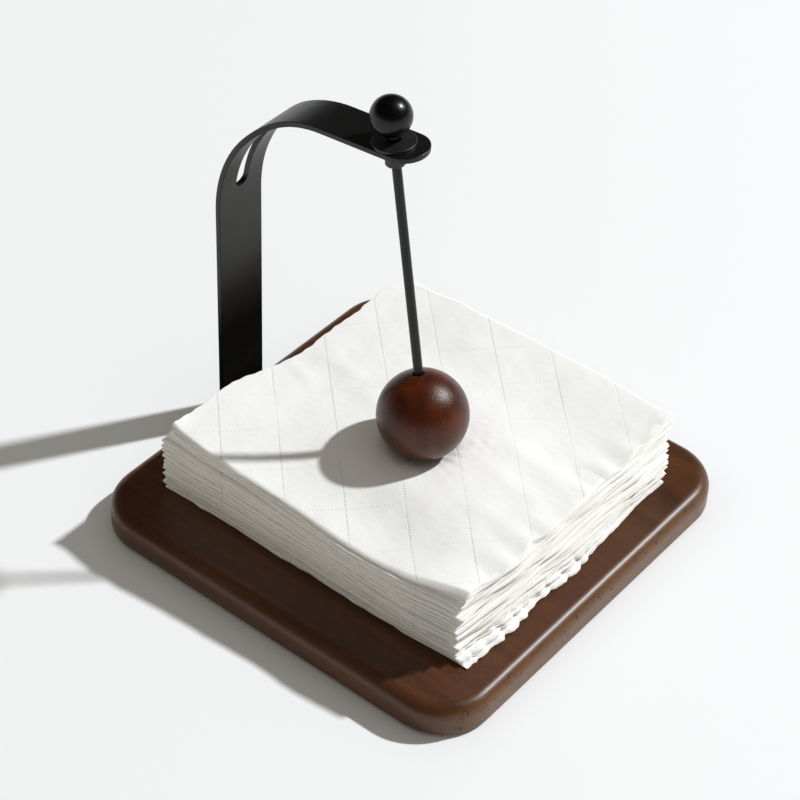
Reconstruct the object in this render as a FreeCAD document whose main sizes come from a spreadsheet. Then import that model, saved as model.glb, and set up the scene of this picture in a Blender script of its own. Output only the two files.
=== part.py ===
import FreeCAD, Part

import math
import os

import Sketcher
from FreeCAD import Placement, Rotation, Vector

# Napkin holder: a square wooden board with a bent steel strip that carries
# a sliding, tilting rod with a wooden weight ball over a stack of napkins.
# Frame: origin under the middle of the board, at the level of the table.
# +X points from the strip to the open front, +Z points up.

doc = FreeCAD.newDocument("NapkinHolder")
sheet = doc.addObject("Spreadsheet::Sheet", "Sizes")

SIZES = [
    # Board
    ("board_side", 200.0, "side of the square board"),
    ("board_thickness", 15.0, "thickness of the board"),
    ("board_corner", 25.0, "corner radius of the board in plan"),
    ("board_top_round", 6.0, "rounding of the upper edge"),
    ("board_under_round", 2.0, "rounding of the lower edge"),
    # Feet
    ("foot_diameter", 12.0, "diameter of a rubber foot"),
    ("foot_recess", 1.0, "depth of the recess that holds a foot"),
    ("foot_proud", 1.0, "height of a foot below the board"),
    ("foot_inset", 30.0, "foot centre from the sides of the board"),
    ("foot_round", 0.4, "rounding of the foot where it meets the table"),
    ("foot_play", 0.1, "gap round a foot in its recess"),
    # Strip
    ("strip_thickness", 2.5, "thickness of the steel strip"),
    ("strip_width", 26.6, "width of the upright part of the strip"),
    ("tip_width", 20.6, "width of the strip over the napkins"),
    ("strip_let_in", 0.9, "depth of the strip in the edge of the board"),
    ("strip_play", 0.1, "gap at each side of the strip in the board"),
    ("strip_foot_gap", 2.0, "height of the strip's lower end"),
    ("strip_edge_round", 0.35, "rounding of the strip's long edges"),
    ("bend_start", 119.9, "height where the strip starts to bend"),
    ("lower_bend_radius", 70.0, "outer radius of the first stretch of the bend"),
    ("lower_bend_angle", 51.0, "turn of the first stretch of the bend"),
    ("upper_bend_radius", 52.3, "outer radius of the second stretch of the bend"),
    ("arm_rise", 5.5, "slope of the arm towards its tip"),
    ("arm_reach", 89.0, "from the outer face to the middle of the round tip"),
    ("taper_inset", 10.0, "from the outer face to where the strip narrows"),
    ("taper_length", 30.0, "length over which the strip narrows"),
    # Slot in the bend
    ("slot_width", 7.4, "width of the slot in the bend"),
    ("slot_from", 9.7, "turn of the bend at the slot's lower round end"),
    ("slot_turn", 26.0, "turn of the bend along the slot"),
    # Screws that hold the strip
    ("screw_spacing", 14.0, "distance between the two screws"),
    ("screw_height", 6.5, "height of the screws above the board's underside"),
    ("screw_shank", 3.5, "diameter of the screw's shank"),
    ("screw_length", 18.0, "length of the screw under its head"),
    ("screw_point", 4.0, "length of the screw's pointed end"),
    ("screw_head", 6.9, "diameter of the countersunk screw head"),
    ("screw_sink", 7.0, "diameter of the countersink in the strip's outer face"),
    ("screw_drive", 2.5, "across flats of the hexagonal recess in the head"),
    ("screw_drive_depth", 1.2, "depth of the recess in the head"),
    ("screw_play", 0.3, "gap round the shank in the strip"),
    ("pilot_play", 0.05, "gap round the shank in the board"),
    # Bush in the arm
    ("hole_setback", 4.4, "hole centre behind the middle of the round tip"),
    ("hole_diameter", 12.0, "hole in the arm"),
    ("bush_flange", 18.2, "diameter of the bush's flange"),
    ("bush_rim", 1.2, "thickness of the flange at its rim"),
    ("bush_edge", 0.3, "rounding of the flange's upper edge"),
    ("bush_crown", 1.5, "height of the flange at its neck"),
    ("bush_neck", 8.0, "diameter of the raised middle of the flange"),
    ("bush_sleeve", 8.3, "diameter of the sleeve in the hole"),
    ("bush_hang", 7.2, "length of the sleeve below the arm"),
    ("bush_nose", 7.2, "diameter of the sleeve's flat lower end"),
    ("bush_waist", -1.5, "narrowest place of the bore, above the middle of the arm"),
    ("bush_seat_gap", 0.05, "gap under the flange"),
    ("rod_play", 0.05, "gap between the leaning rod and the bore"),
    # Rod, knob and weight
    ("rod_diameter", 4.0, "diameter of the rod"),
    ("rod_chamfer", 0.4, "chamfer at both ends of the rod"),
    ("rod_shift", -1.0, "sideways place of the rod's axis in the hole"),
    ("rod_lean", 14.76, "lean of the rod from the vertical"),
    ("lean_heading", -20.5, "direction in plan to which the ball leans"),
    ("rod_fit", 0.03, "gap round the rod in the ball and in the knob"),
    ("ball_diameter", 39.0, "diameter of the wooden weight ball"),
    ("ball_bore_depth", 22.0, "depth of the bore in the ball"),
    ("ball_mouth", 5.4, "diameter of the bore's flared mouth"),
    ("ball_rest_gap", 0.3, "gap between the ball and the top napkin"),
    ("knob_diameter", 17.3, "diameter of the ball knob"),
    ("knob_height", 12.25, "knob centre above the middle of the arm, along the rod"),
    ("knob_neck", 6.4, "diameter of the neck under the knob"),
    ("knob_rest_gap", 0.35, "gap between the neck and the bush"),
    ("knob_bore_depth", 12.0, "depth of the bore in the knob"),
    # Napkins
    ("napkin_length", 161.0, "folded napkin along the arm"),
    ("napkin_width", 143.0, "folded napkin across the arm"),
    ("napkin_thickness", 1.75, "thickness of one folded napkin"),
    ("napkin_fold_round", 0.8, "rounding of the folded edges"),
    ("stack_forward", 1.5, "middle of the stack in front of the board's"),
    ("stack_sideways", 0.5, "middle of the stack beside the board's"),
    ("stack_shuffle", 1.6, "how far single napkins lie out of line"),
    ("stack_twist", 0.9, "how far single napkins are turned, in degrees"),
    # Shared by several cuts
    ("cut_overrun", 2.0, "how far cutting outlines run past the material"),
    ("bore_spare", 1.0, "free space in a bore beyond the rod or screw in it"),
]
NAPKIN_COUNT = 20
SHUFFLE_PHASES = (2.4, 3.7, 1.3)  # radians from one napkin to the next: along, across, turned
FIRST_TURN_PHASE = 0.5
ON_PLANE = 1e-4  # mm
NEARLY_PARALLEL = 0.02  # sine of the angle between two directions
SHORT_EDGE = 1.2  # times the strip's thickness
SMALLEST_CUT = 0.01  # mm3

for row, (alias, amount, note) in enumerate(SIZES, start=1):
    sheet.set(f"A{row}", note)
    sheet.set(f"B{row}", str(amount))
    sheet.setAlias(f"B{row}", alias)
doc.recompute()


def size(alias):
    """Value of one driving dimension."""
    return float(sheet.get(alias))


def value(expression):
    """Number that an expression over the sheet gives."""
    return float(sheet.evalExpression(expression))


# Sketch and body helpers

def new_body(label):
    body = doc.addObject("PartDesign::Body", label)
    body.Label = label
    return body


def new_sketch(body, name, role, offset=None):
    """Sketch on one of the body's own origin planes."""
    plane = next(f for f in body.Origin.OriginFeatures if f.Role == role)
    sketch = body.newObject("Sketcher::SketchObject", name)
    sketch.AttachmentSupport = [(plane, "")]
    sketch.MapMode = "FlatFace"
    if offset is not None:
        sketch.AttachmentOffset = offset
    return sketch


def bind(obj, **expressions):
    """Tie properties of an object to expressions over the sheet."""
    for prop, expression in expressions.items():
        obj.setExpression(prop, expression)


def place_point(sketch, geometry, point, x, y):
    """Tie a point of a sketch to two expressions, measured from the origin."""
    for kind, expression, axis in (("DistanceX", x, -2), ("DistanceY", y, -1)):
        if expression == "0":
            sketch.addConstraint(Sketcher.Constraint("PointOnObject", geometry, point, axis))
            continue
        amount = sketch.evalExpression(expression)
        index = sketch.addConstraint(
            Sketcher.Constraint(kind, -1, 1, geometry, point, float(amount)))
        sketch.setExpression(f"Constraints[{index}]", expression)


def add_circle(sketch, x, y, diameter):
    centre = Vector(float(sketch.evalExpression(x)), float(sketch.evalExpression(y)), 0)
    radius = float(sketch.evalExpression(diameter)) / 2
    circle = sketch.addGeometry(Part.Circle(centre, Vector(0, 0, 1), radius))
    place_point(sketch, circle, 3, x, y)
    index = sketch.addConstraint(Sketcher.Constraint("Diameter", circle, radius * 2))
    sketch.setExpression(f"Constraints[{index}]", diameter)


def add_outline(sketch, corners):
    """Closed outline: (x, y) is a corner; (x, y, radius) ends an arc of that radius,
    which bulges to the left of the way there, or to the right if it is negative."""
    spots = [Vector(float(sketch.evalExpression(c[0])), float(sketch.evalExpression(c[1])), 0)
             for c in corners]
    edges = []
    for index, corner in enumerate(corners):
        start, end = spots[index - 1], spots[index]
        if len(corner) == 2:
            edges.append(sketch.addGeometry(Part.LineSegment(start, end)))
            continue
        radius = float(sketch.evalExpression(corner[2]))
        chord = end - start
        left = Vector(-chord.y, chord.x, 0).normalize()
        rise = abs(radius) - math.sqrt(max(radius ** 2 - (chord.Length / 2) ** 2, 0.0))
        side = 1 if radius > 0 else -1
        middle = (start + end) / 2 + left * rise * side
        edges.append(sketch.addGeometry(Part.Arc(start, middle, end)))
    for index, corner in enumerate(corners):
        edge, following = edges[index], edges[(index + 1) % len(corners)]
        end_point = 2 if same_point(sketch, edge, 2, spots[index]) else 1
        start_point = 1 if same_point(sketch, following, 1, spots[index]) else 2
        sketch.addConstraint(
            Sketcher.Constraint("Coincident", edge, end_point, following, start_point))
        place_point(sketch, edge, end_point, corner[0], corner[1])
        if len(corner) == 3:
            radius = abs(float(sketch.evalExpression(corner[2])))
            constraint = sketch.addConstraint(Sketcher.Constraint("Radius", edge, radius))
            sketch.setExpression(f"Constraints[{constraint}]", f"abs({corner[2]})")


def same_point(sketch, geometry, point, spot):
    return (sketch.getPoint(geometry, point) - spot).Length < 1e-6


def add_feature(body, kind, name, sketch):
    feature = body.newObject(f"PartDesign::{kind}", name)
    feature.Profile = sketch
    sketch.Visibility = False
    return feature


def cut_through(body, name, sketch):
    """Pocket both ways from its sketch; it has to take something away."""
    before = body.Shape.Volume
    pocket = add_feature(body, "Pocket", name, sketch)
    pocket.Type = "ThroughAll"
    pocket.Midplane = True
    doc.recompute()
    check_removed(name, before, body.Shape.Volume)
    return pocket


def cut_depth(body, name, sketch, depth, reverse=False):
    """Pocket of a given depth; it has to take something away."""
    before = body.Shape.Volume
    pocket = add_feature(body, "Pocket", name, sketch)
    pocket.Type = "Length"
    pocket.Reversed = reverse
    bind(pocket, Length=depth)
    doc.recompute()
    check_removed(name, before, body.Shape.Volume)
    return pocket


def check_removed(name, before, after):
    if not after < before - SMALLEST_CUT:
        raise RuntimeError(f"{name} removed nothing")


def round_edges(body, name, base, edges, radius):
    fillet = body.newObject("PartDesign::Fillet", name)
    fillet.Base = (base, edges)
    bind(fillet, Radius=radius)
    doc.recompute()
    return fillet


def edges_where(shape, test):
    """Names of the edges whose points all pass a test."""
    names = []
    for index, edge in enumerate(shape.Edges, start=1):
        first, last = edge.ParameterRange
        spots = [edge.valueAt(first + (last - first) * k / 4) for k in range(5)]
        if all(test(spot) for spot in spots):
            names.append(f"Edge{index}")
    return names


def revolve(body, name, corners):
    """Turned piece: an outline in the XZ plane, turned about Z."""
    sketch = new_sketch(body, f"{name}_section", "XZ_Plane")
    add_outline(sketch, corners)
    turned = add_feature(body, "Revolution", name, sketch)
    turned.ReferenceAxis = (sketch, ["V_Axis"])
    turned.Angle = 360
    doc.recompute()
    return turned


# Levels and places that several pieces share

BOARD_TOP = "(Sizes.foot_proud + Sizes.board_thickness)"
OUTER_FACE = "(-Sizes.board_side / 2 + Sizes.strip_let_in - Sizes.strip_thickness)"
INNER_FACE = "(-Sizes.board_side / 2 + Sizes.strip_let_in)"
MID_STRIP = "(-Sizes.board_side / 2 + Sizes.strip_let_in - Sizes.strip_thickness / 2)"
TIP_MIDDLE = f"({OUTER_FACE} + Sizes.arm_reach)"
HOLE_X = f"({TIP_MIDDLE} - Sizes.hole_setback)"
SCREW_Z = "(Sizes.foot_proud + Sizes.screw_height)"


def bend_points():
    """Joints of the strip's middle line: bend start, change of radius, bend end."""
    half = size("strip_thickness") / 2
    first, second = size("lower_bend_radius") - half, size("upper_bend_radius") - half
    heading = math.radians(90 - size("lower_bend_angle"))
    rise = math.radians(size("arm_rise"))
    start = Vector(value(MID_STRIP), size("bend_start"), 0)
    centre_one = start + Vector(first, 0, 0)
    change = centre_one + Vector(-math.sin(heading), math.cos(heading), 0) * first
    centre_two = change - Vector(-math.sin(heading), math.cos(heading), 0) * second
    end = centre_two + Vector(-math.sin(rise), math.cos(rise), 0) * second
    return start, centre_one, change, centre_two, end


def strip_middle_height(x):
    """Height of the strip's middle line on its straight stretch near the tip."""
    end = bend_points()[4]
    return end.y + (x - end.x) * math.tan(math.radians(size("arm_rise")))


# Base board

def make_board():
    body = new_body("base_board")
    half = "Sizes.board_side / 2"
    plan = new_sketch(body, "board_plan", "XY_Plane")
    add_outline(plan, [(f"-{half}", f"-{half}"), (half, f"-{half}"), (half, half), (f"-{half}", half)])
    slab = add_feature(body, "Pad", "board_slab", plan)
    bind(slab, Length="Sizes.board_thickness")
    bind(body, **{"Placement.Base.z": "Sizes.foot_proud"})
    doc.recompute()

    thickness = size("board_thickness")
    side = size("board_side") / 2

    def upright(spot):
        return abs(abs(spot.x) - side) < ON_PLANE and abs(abs(spot.y) - side) < ON_PLANE

    corners = round_edges(body, "board_corners", slab, edges_where(slab.Shape, upright),
                          "Sizes.board_corner")
    on_top = edges_where(corners.Shape, lambda spot: abs(spot.z - thickness) < ON_PLANE)
    top = round_edges(body, "board_top_edge", corners, on_top, "Sizes.board_top_round")
    below = edges_where(top.Shape, lambda spot: abs(spot.z) < ON_PLANE)
    round_edges(body, "board_lower_edge", top, below, "Sizes.board_under_round")

    let_in = new_sketch(body, "strip_place", "XY_Plane")
    reach = "(Sizes.strip_width / 2 + Sizes.strip_play)"
    outside = f"({OUTER_FACE})"
    add_outline(let_in, [(outside, f"-{reach}"), (INNER_FACE, f"-{reach}"), (INNER_FACE, reach),
                         (outside, reach)])
    cut_through(body, "strip_rebate", let_in)

    recesses = new_sketch(body, "foot_places", "XY_Plane")
    for x_sign, y_sign in foot_signs():
        add_circle(recesses, foot_place(x_sign), foot_place(y_sign),
                   "Sizes.foot_diameter + 2 * Sizes.foot_play")
    cut_depth(body, "foot_recesses", recesses, "Sizes.foot_recess", reverse=True)

    pilots = new_sketch(body, "pilot_places", "YZ_Plane")
    pilots.setExpression("AttachmentOffset.Base.z", INNER_FACE)
    for sign in ("-", ""):
        add_circle(pilots, f"{sign}Sizes.screw_spacing / 2", "Sizes.screw_height",
                   "Sizes.screw_shank + 2 * Sizes.pilot_play")
    cut_depth(body, "pilot_holes", pilots, "Sizes.screw_length - Sizes.strip_thickness + Sizes.bore_spare", reverse=True)
    return body


def foot_signs():
    return [(1, -1), (1, 1), (-1, 1), (-1, -1)]


def foot_place(sign):
    return f"{sign} * (Sizes.board_side / 2 - Sizes.foot_inset)"


def make_feet():
    names = {(1, -1): "front_left_foot", (1, 1): "front_right_foot",
             (-1, 1): "back_right_foot", (-1, -1): "back_left_foot"}
    feet = []
    for x_sign, y_sign in foot_signs():
        body = new_body(names[(x_sign, y_sign)])
        radius = "Sizes.foot_diameter / 2"
        height = "(Sizes.foot_proud + Sizes.foot_recess)"
        revolve(body, f"pad_{x_sign + 1}{y_sign + 1}", [
            ("0", "0"),
            (f"{radius} - Sizes.foot_round", "0"),
            (radius, "Sizes.foot_round", "-Sizes.foot_round"),
            (radius, height),
            ("0", height),
        ])
        bind(body, **{"Placement.Base.x": foot_place(x_sign), "Placement.Base.y": foot_place(y_sign)})
        feet.append(body)
    return feet


# Steel strip: upright, bend and arm in one piece

def make_strip():
    body = new_body("arm_strip")
    start, centre_one, change, centre_two, end = bend_points()
    foot = Vector(start.x, size("strip_foot_gap"), 0)
    overrun = size("tip_width") / 2 + size("cut_overrun")
    tip_x = value(TIP_MIDDLE) + overrun
    tip = Vector(tip_x, strip_middle_height(tip_x), 0)

    spine = new_sketch(body, "strip_spine", "XZ_Plane")
    first = size("lower_bend_radius") - size("strip_thickness") / 2
    second = size("upper_bend_radius") - size("strip_thickness") / 2
    upright = spine.addGeometry(Part.LineSegment(foot, start))
    lower = spine.addGeometry(arc_between(centre_one, first, change, start))
    upper = spine.addGeometry(arc_between(centre_two, second, end, change))
    arm = spine.addGeometry(Part.LineSegment(end, tip))
    spine.addConstraint([
        Sketcher.Constraint("Tangent", upright, 2, lower, 2),
        Sketcher.Constraint("Tangent", lower, 1, upper, 2),
        Sketcher.Constraint("Tangent", upper, 1, arm, 1),
        Sketcher.Constraint("Vertical", upright),
    ])
    place_point(spine, upright, 1, MID_STRIP, "Sizes.strip_foot_gap")
    drive(spine, Sketcher.Constraint("DistanceY", -1, 1, upright, 2, start.y), "Sizes.bend_start")
    drive(spine, Sketcher.Constraint("Radius", lower, first),
          "Sizes.lower_bend_radius - Sizes.strip_thickness / 2")
    drive(spine, Sketcher.Constraint("Radius", upper, second),
          "Sizes.upper_bend_radius - Sizes.strip_thickness / 2")
    drive(spine, Sketcher.Constraint("DistanceY", -1, 1, lower, 1, change.y),
          "Sizes.bend_start + (Sizes.lower_bend_radius - Sizes.strip_thickness / 2)"
          " * sin(Sizes.lower_bend_angle * 1deg)")
    drive(spine, Sketcher.Constraint("Angle", arm, math.radians(size("arm_rise"))),
          "Sizes.arm_rise * 1deg")
    drive(spine, Sketcher.Constraint("DistanceX", -1, 1, arm, 2, tip_x),
          f"{TIP_MIDDLE} + Sizes.tip_width / 2 + Sizes.cut_overrun")

    section = new_sketch(body, "strip_section", "XY_Plane")
    section.setExpression("AttachmentOffset.Base.z", "Sizes.strip_foot_gap")
    half = "Sizes.strip_width / 2"
    add_outline(section, [(OUTER_FACE, f"-{half}"), (INNER_FACE, f"-{half}"), (INNER_FACE, half),
                          (OUTER_FACE, half)])
    sweep = add_feature(body, "AdditivePipe", "strip_sweep", section)
    sweep.Spine = (spine, ["Edge1", "Edge2", "Edge3", "Edge4"])
    spine.Visibility = False
    doc.recompute()

    plan = new_sketch(body, "strip_plan", "XY_Plane")
    draw_plan(plan)
    plan_cut = cut_through(body, "strip_outline", plan)
    doc.recompute()

    long_edges = strip_long_edges(plan_cut.Shape)
    round_edges(body, "strip_edges", plan_cut, long_edges, "Sizes.strip_edge_round")

    cut_bush_hole(body)
    cut_slot(body)
    screws = new_sketch(body, "screw_places", "YZ_Plane")
    screws.setExpression("AttachmentOffset.Base.z", MID_STRIP)
    for sign in ("-", ""):
        add_circle(screws, f"{sign}Sizes.screw_spacing / 2", SCREW_Z,
                   "Sizes.screw_shank + 2 * Sizes.screw_play")
    before = body.Shape.Volume
    holes = add_feature(body, "Pocket", "screw_holes", screws)
    holes.Type = "Length"
    holes.Midplane = True
    bind(holes, Length="Sizes.strip_thickness + Sizes.cut_overrun")
    doc.recompute()
    check_removed("screw_holes", before, body.Shape.Volume)
    sink_screw_holes(body, holes)
    return body


def sink_screw_holes(body, holes):
    """Cone at the outer end of each screw hole, for the screw's head."""
    outer = value(OUTER_FACE)
    rims = edges_where(holes.Shape, lambda spot: abs(spot.x - outer) < ON_PLANE
                       and abs(spot.z - value(SCREW_Z)) < size("screw_shank")
                       and abs(abs(spot.y) - size("screw_spacing") / 2) < size("screw_shank"))
    before = body.Shape.Volume
    sink = body.newObject("PartDesign::Chamfer", "screw_sinks")
    sink.Base = (holes, rims)
    bind(sink, Size="(Sizes.screw_sink - Sizes.screw_shank) / 2 - Sizes.screw_play")
    doc.recompute()
    check_removed("screw_sinks", before, body.Shape.Volume)


def arc_between(centre, radius, first, last):
    """Arc from first to last, counter-clockwise about its centre."""
    circle = Part.Circle(centre, Vector(0, 0, 1), radius)
    return Part.ArcOfCircle(circle, math.atan2(first.y - centre.y, first.x - centre.x),
                            math.atan2(last.y - centre.y, last.x - centre.x))


def drive(sketch, constraint, expression):
    index = sketch.addConstraint(constraint)
    sketch.setExpression(f"Constraints[{index}]", expression)


def draw_plan(plan):
    """Everything outside the strip's outline from above, as one frame to cut away."""
    wide, narrow = "Sizes.strip_width / 2", "Sizes.tip_width / 2"
    back = f"({OUTER_FACE} - 2 * Sizes.cut_overrun)"
    front = f"({TIP_MIDDLE} + Sizes.tip_width / 2 + 2 * Sizes.cut_overrun)"
    side = "(Sizes.strip_width / 2 + 2 * Sizes.cut_overrun)"
    add_outline(plan, [(back, f"-{side}"), (front, f"-{side}"), (front, side), (back, side)])
    behind = f"({OUTER_FACE} - Sizes.cut_overrun)"
    taper_from = f"({OUTER_FACE} + Sizes.taper_inset)"
    taper_middle = f"({OUTER_FACE} + Sizes.taper_inset + Sizes.taper_length / 2)"
    taper_to = f"({OUTER_FACE} + Sizes.taper_inset + Sizes.taper_length)"
    step = "((Sizes.strip_width - Sizes.tip_width) / 2)"
    bow = f"((Sizes.taper_length ^ 2 + {step} ^ 2) / (4 * {step}))"
    halfway = "((Sizes.strip_width + Sizes.tip_width) / 4)"
    add_outline(plan, [
        (behind, f"-{wide}"),
        (taper_from, f"-{wide}"),
        (taper_middle, f"-{halfway}", f"-{bow}"),
        (taper_to, f"-{narrow}", bow),
        (TIP_MIDDLE, f"-{narrow}"),
        (f"{TIP_MIDDLE} + {narrow}", "0", f"-{narrow}"),
        (TIP_MIDDLE, narrow, f"-{narrow}"),
        (taper_to, narrow),
        (taper_middle, halfway, bow),
        (taper_from, wide, f"-{bow}"),
        (behind, wide),
    ])


def strip_long_edges(shape):
    """Edges along both sides and round the tip, on the outer and the inner face."""
    names = []
    for index, edge in enumerate(shape.Edges, start=1):
        first, last = edge.ParameterRange
        spot = edge.valueAt((first + last) / 2)
        along = edge.tangentAt((first + last) / 2)
        at_foot = abs(spot.z - size("strip_foot_gap")) < ON_PLANE
        beside = abs(spot.y) > size("tip_width") / 2 - ON_PLANE or spot.x > value(TIP_MIDDLE)
        crosswise = Vector(0, 1, 0).cross(along).Length < NEARLY_PARALLEL
        across = crosswise and spot.x < value(TIP_MIDDLE)
        faces = shape.ancestorsOfType(edge, Part.Face)
        upright_side = short_edge(edge) and spot.x < value(TIP_MIDDLE)
        if at_foot or across or upright_side or not beside or len(faces) != 2:
            continue
        if smooth_joint(faces, spot):
            continue
        names.append(f"Edge{index}")
    return names


def short_edge(edge):
    return edge.Length < SHORT_EDGE * size("strip_thickness")


def smooth_joint(faces, spot):
    """Whether two faces meet without a corner at a point."""
    normals = []
    for face in faces:
        u, v = face.Surface.parameter(spot)
        normals.append(face.normalAt(u, v))
    return normals[0].cross(normals[1]).Length < NEARLY_PARALLEL


def cut_bush_hole(body):
    x = value(HOLE_X)
    z = strip_middle_height(x)
    tilt = Rotation(Vector(0, 1, 0), -size("arm_rise"))
    hole = new_sketch(body, "bush_hole_place", "XY_Plane", Placement(Vector(x, 0, z), tilt))
    add_circle(hole, "0", "0", "Sizes.hole_diameter")
    before = body.Shape.Volume
    bore = add_feature(body, "Pocket", "bush_hole", hole)
    bore.Type = "Length"
    bore.Midplane = True
    bind(bore, Length="Sizes.strip_thickness + 2 * Sizes.cut_overrun")
    doc.recompute()
    check_removed("bush_hole", before, body.Shape.Volume)


def cut_slot(body):
    """Slot along the bend: a curved window with a round hole at each end."""
    centre = bend_points()[1]
    outer = size("lower_bend_radius") + size("cut_overrun") / 2
    inner = size("lower_bend_radius") - size("strip_thickness") - size("cut_overrun") / 2
    angles = (180 - size("slot_from"), 180 - size("slot_from") - size("slot_turn"))
    window = new_sketch(body, "slot_window", "XZ_Plane")
    ends = [Vector(math.cos(math.radians(a)), math.sin(math.radians(a)), 0) for a in angles]
    low, high = ends
    window.addGeometry(arc_between(centre, outer, centre + high * outer, centre + low * outer))
    window.addGeometry(Part.LineSegment(centre + low * outer, centre + low * inner))
    window.addGeometry(arc_between(centre, inner, centre + high * inner, centre + low * inner))
    window.addGeometry(Part.LineSegment(centre + high * inner, centre + high * outer))
    window.addConstraint([
        Sketcher.Constraint("Coincident", 0, 2, 1, 1),
        Sketcher.Constraint("Coincident", 1, 2, 2, 2),
        Sketcher.Constraint("Coincident", 2, 1, 3, 1),
        Sketcher.Constraint("Coincident", 3, 2, 0, 1),
    ])
    before = body.Shape.Volume
    cut = add_feature(body, "Pocket", "slot_middle", window)
    cut.Type = "Length"
    cut.Midplane = True
    bind(cut, Length="Sizes.slot_width")
    doc.recompute()
    check_removed("slot_middle", before, body.Shape.Volume)
    mean = (outer + inner) / 2
    for label, angle, spoke in (("low", angles[0], low), ("high", angles[1], high)):
        spot = Vector(centre.x, 0, centre.y) + Vector(spoke.x, 0, spoke.y) * mean
        turn = Rotation(Vector(0, 0, 1), Vector(spoke.x, 0, spoke.y))
        round_end = new_sketch(body, f"slot_{label}_place", "XY_Plane", Placement(spot, turn))
        add_circle(round_end, "0", "0", "Sizes.slot_width")
        before = body.Shape.Volume
        drill = add_feature(body, "Pocket", f"slot_{label}_end", round_end)
        drill.Type = "Length"
        drill.Midplane = True
        bind(drill, Length="Sizes.strip_thickness + Sizes.cut_overrun")
        doc.recompute()
        check_removed(f"slot_{label}_end", before, body.Shape.Volume)


# Screws through the strip into the edge of the board

def make_screws():
    screws = []
    for label, sign in (("left_arm_screw", "-"), ("right_arm_screw", "")):
        body = new_body(label)
        shank = "Sizes.screw_shank / 2"
        head = "Sizes.screw_head / 2"
        revolve(body, f"{label}_turned", [
            ("0", "-Sizes.screw_length"),
            (shank, "-Sizes.screw_length + Sizes.screw_point"),
            (shank, f"{shank} - {head}"),
            (head, "0"),
            ("0", "0"),
        ])
        drive_sketch = new_sketch(body, f"{label}_drive", "XY_Plane")
        side = "Sizes.screw_drive / sqrt(3)"
        add_outline(drive_sketch, [(f"{side} * cos({60 * k}deg)", f"{side} * sin({60 * k}deg)")
                                   if k % 3 else (f"{'-' if k else ''}{side}", "0") for k in range(6)])
        cut_depth(body, f"{label}_recess", drive_sketch, "Sizes.screw_drive_depth")
        body.Placement = Placement(Vector(), Rotation(Vector(0, 0, 1), Vector(-1, 0, 0)))
        bind(body, **{"Placement.Base.x": OUTER_FACE,
                      "Placement.Base.y": f"{sign}Sizes.screw_spacing / 2",
                      "Placement.Base.z": SCREW_Z})
        screws.append(body)
    return screws


# Rod with its knob and weight ball, and the bush that it slides in

def lean_direction():
    """Unit vector up along the leaning rod."""
    lean, heading = math.radians(size("rod_lean")), math.radians(size("lean_heading"))
    return Vector(-math.sin(lean) * math.cos(heading), -math.sin(lean) * math.sin(heading),
                  math.cos(lean))


def arm_normal():
    rise = math.radians(size("arm_rise"))
    return Vector(-math.sin(rise), 0, math.cos(rise))


def rod_crossing():
    """Where the rod's axis crosses the middle of the arm's thickness."""
    x = value(HOLE_X)
    return Vector(x, size("rod_shift"), strip_middle_height(x))


def lean_in_bush():
    """Angle between the rod and the axis of the bush, which lies flat on the arm."""
    return lean_direction().getAngle(arm_normal())


def bush_seat():
    """Underside of the flange above the middle of the arm's thickness."""
    return size("strip_thickness") / 2 + size("bush_seat_gap")


def bore_radius(distance):
    """Radius that the leaning rod needs in the bush, at a distance from the bore's waist."""
    rod = size("rod_diameter") / 2 / math.cos(lean_in_bush())
    return rod + size("rod_play") + distance * math.tan(lean_in_bush())


def rod_drop():
    """Ball centre below the middle of the arm, measured along the rod."""
    stack_top = value(BOARD_TOP) + NAPKIN_COUNT * size("napkin_thickness")
    ball_height = stack_top + size("ball_rest_gap") + size("ball_diameter") / 2
    return (rod_crossing().z - ball_height) / math.cos(math.radians(size("rod_lean")))


def along_rod(distance):
    """Placement on the rod's axis, at a distance above the middle of the arm."""
    direction = lean_direction()
    return Placement(rod_crossing() + direction * distance, Rotation(Vector(0, 0, 1), direction))


def make_bush():
    """Flanged bush with a bore that widens from its waist to both ends, so that the rod can lean."""
    body = new_body("swivel_bush")
    rim, neck = "Sizes.bush_flange / 2", "Sizes.bush_neck / 2"
    sleeve, nose = "Sizes.bush_sleeve / 2", "Sizes.bush_nose / 2"
    depth = "(Sizes.bush_seat_gap + Sizes.strip_thickness + Sizes.bush_hang)"
    nose_round = f"({sleeve} - {nose})"
    rim_flat = f"({rim} - Sizes.bush_edge)"
    bell = (f"((({rim_flat} - {neck}) ^ 2 + (Sizes.bush_crown - Sizes.bush_rim) ^ 2)"
            " / (2 * (Sizes.bush_crown - Sizes.bush_rim)))")
    waist = size("bush_waist") - bush_seat()
    lower_mouth = bore_radius(value(depth) + waist)
    upper_mouth = bore_radius(size("bush_crown") - waist)
    revolve(body, "bush_turned", [
        (f"{lower_mouth}", f"-{depth}"),
        (nose, f"-{depth}"),
        (sleeve, f"-{depth} + {nose_round}", f"-{nose_round}"),
        (sleeve, "0"),
        (rim, "0"),
        (rim, "Sizes.bush_rim - Sizes.bush_edge"),
        (rim_flat, "Sizes.bush_rim", "-Sizes.bush_edge"),
        (neck, "Sizes.bush_crown", bell),
        (f"{upper_mouth}", "Sizes.bush_crown"),
        (f"{bore_radius(0)}", f"{waist}"),
    ])
    normal = arm_normal()
    on_rod = rod_crossing() + lean_direction() * (size("bush_waist") / math.cos(lean_in_bush()))
    body.Placement = Placement(on_rod - normal * waist, Rotation(Vector(0, 0, 1), normal))
    return body


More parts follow.
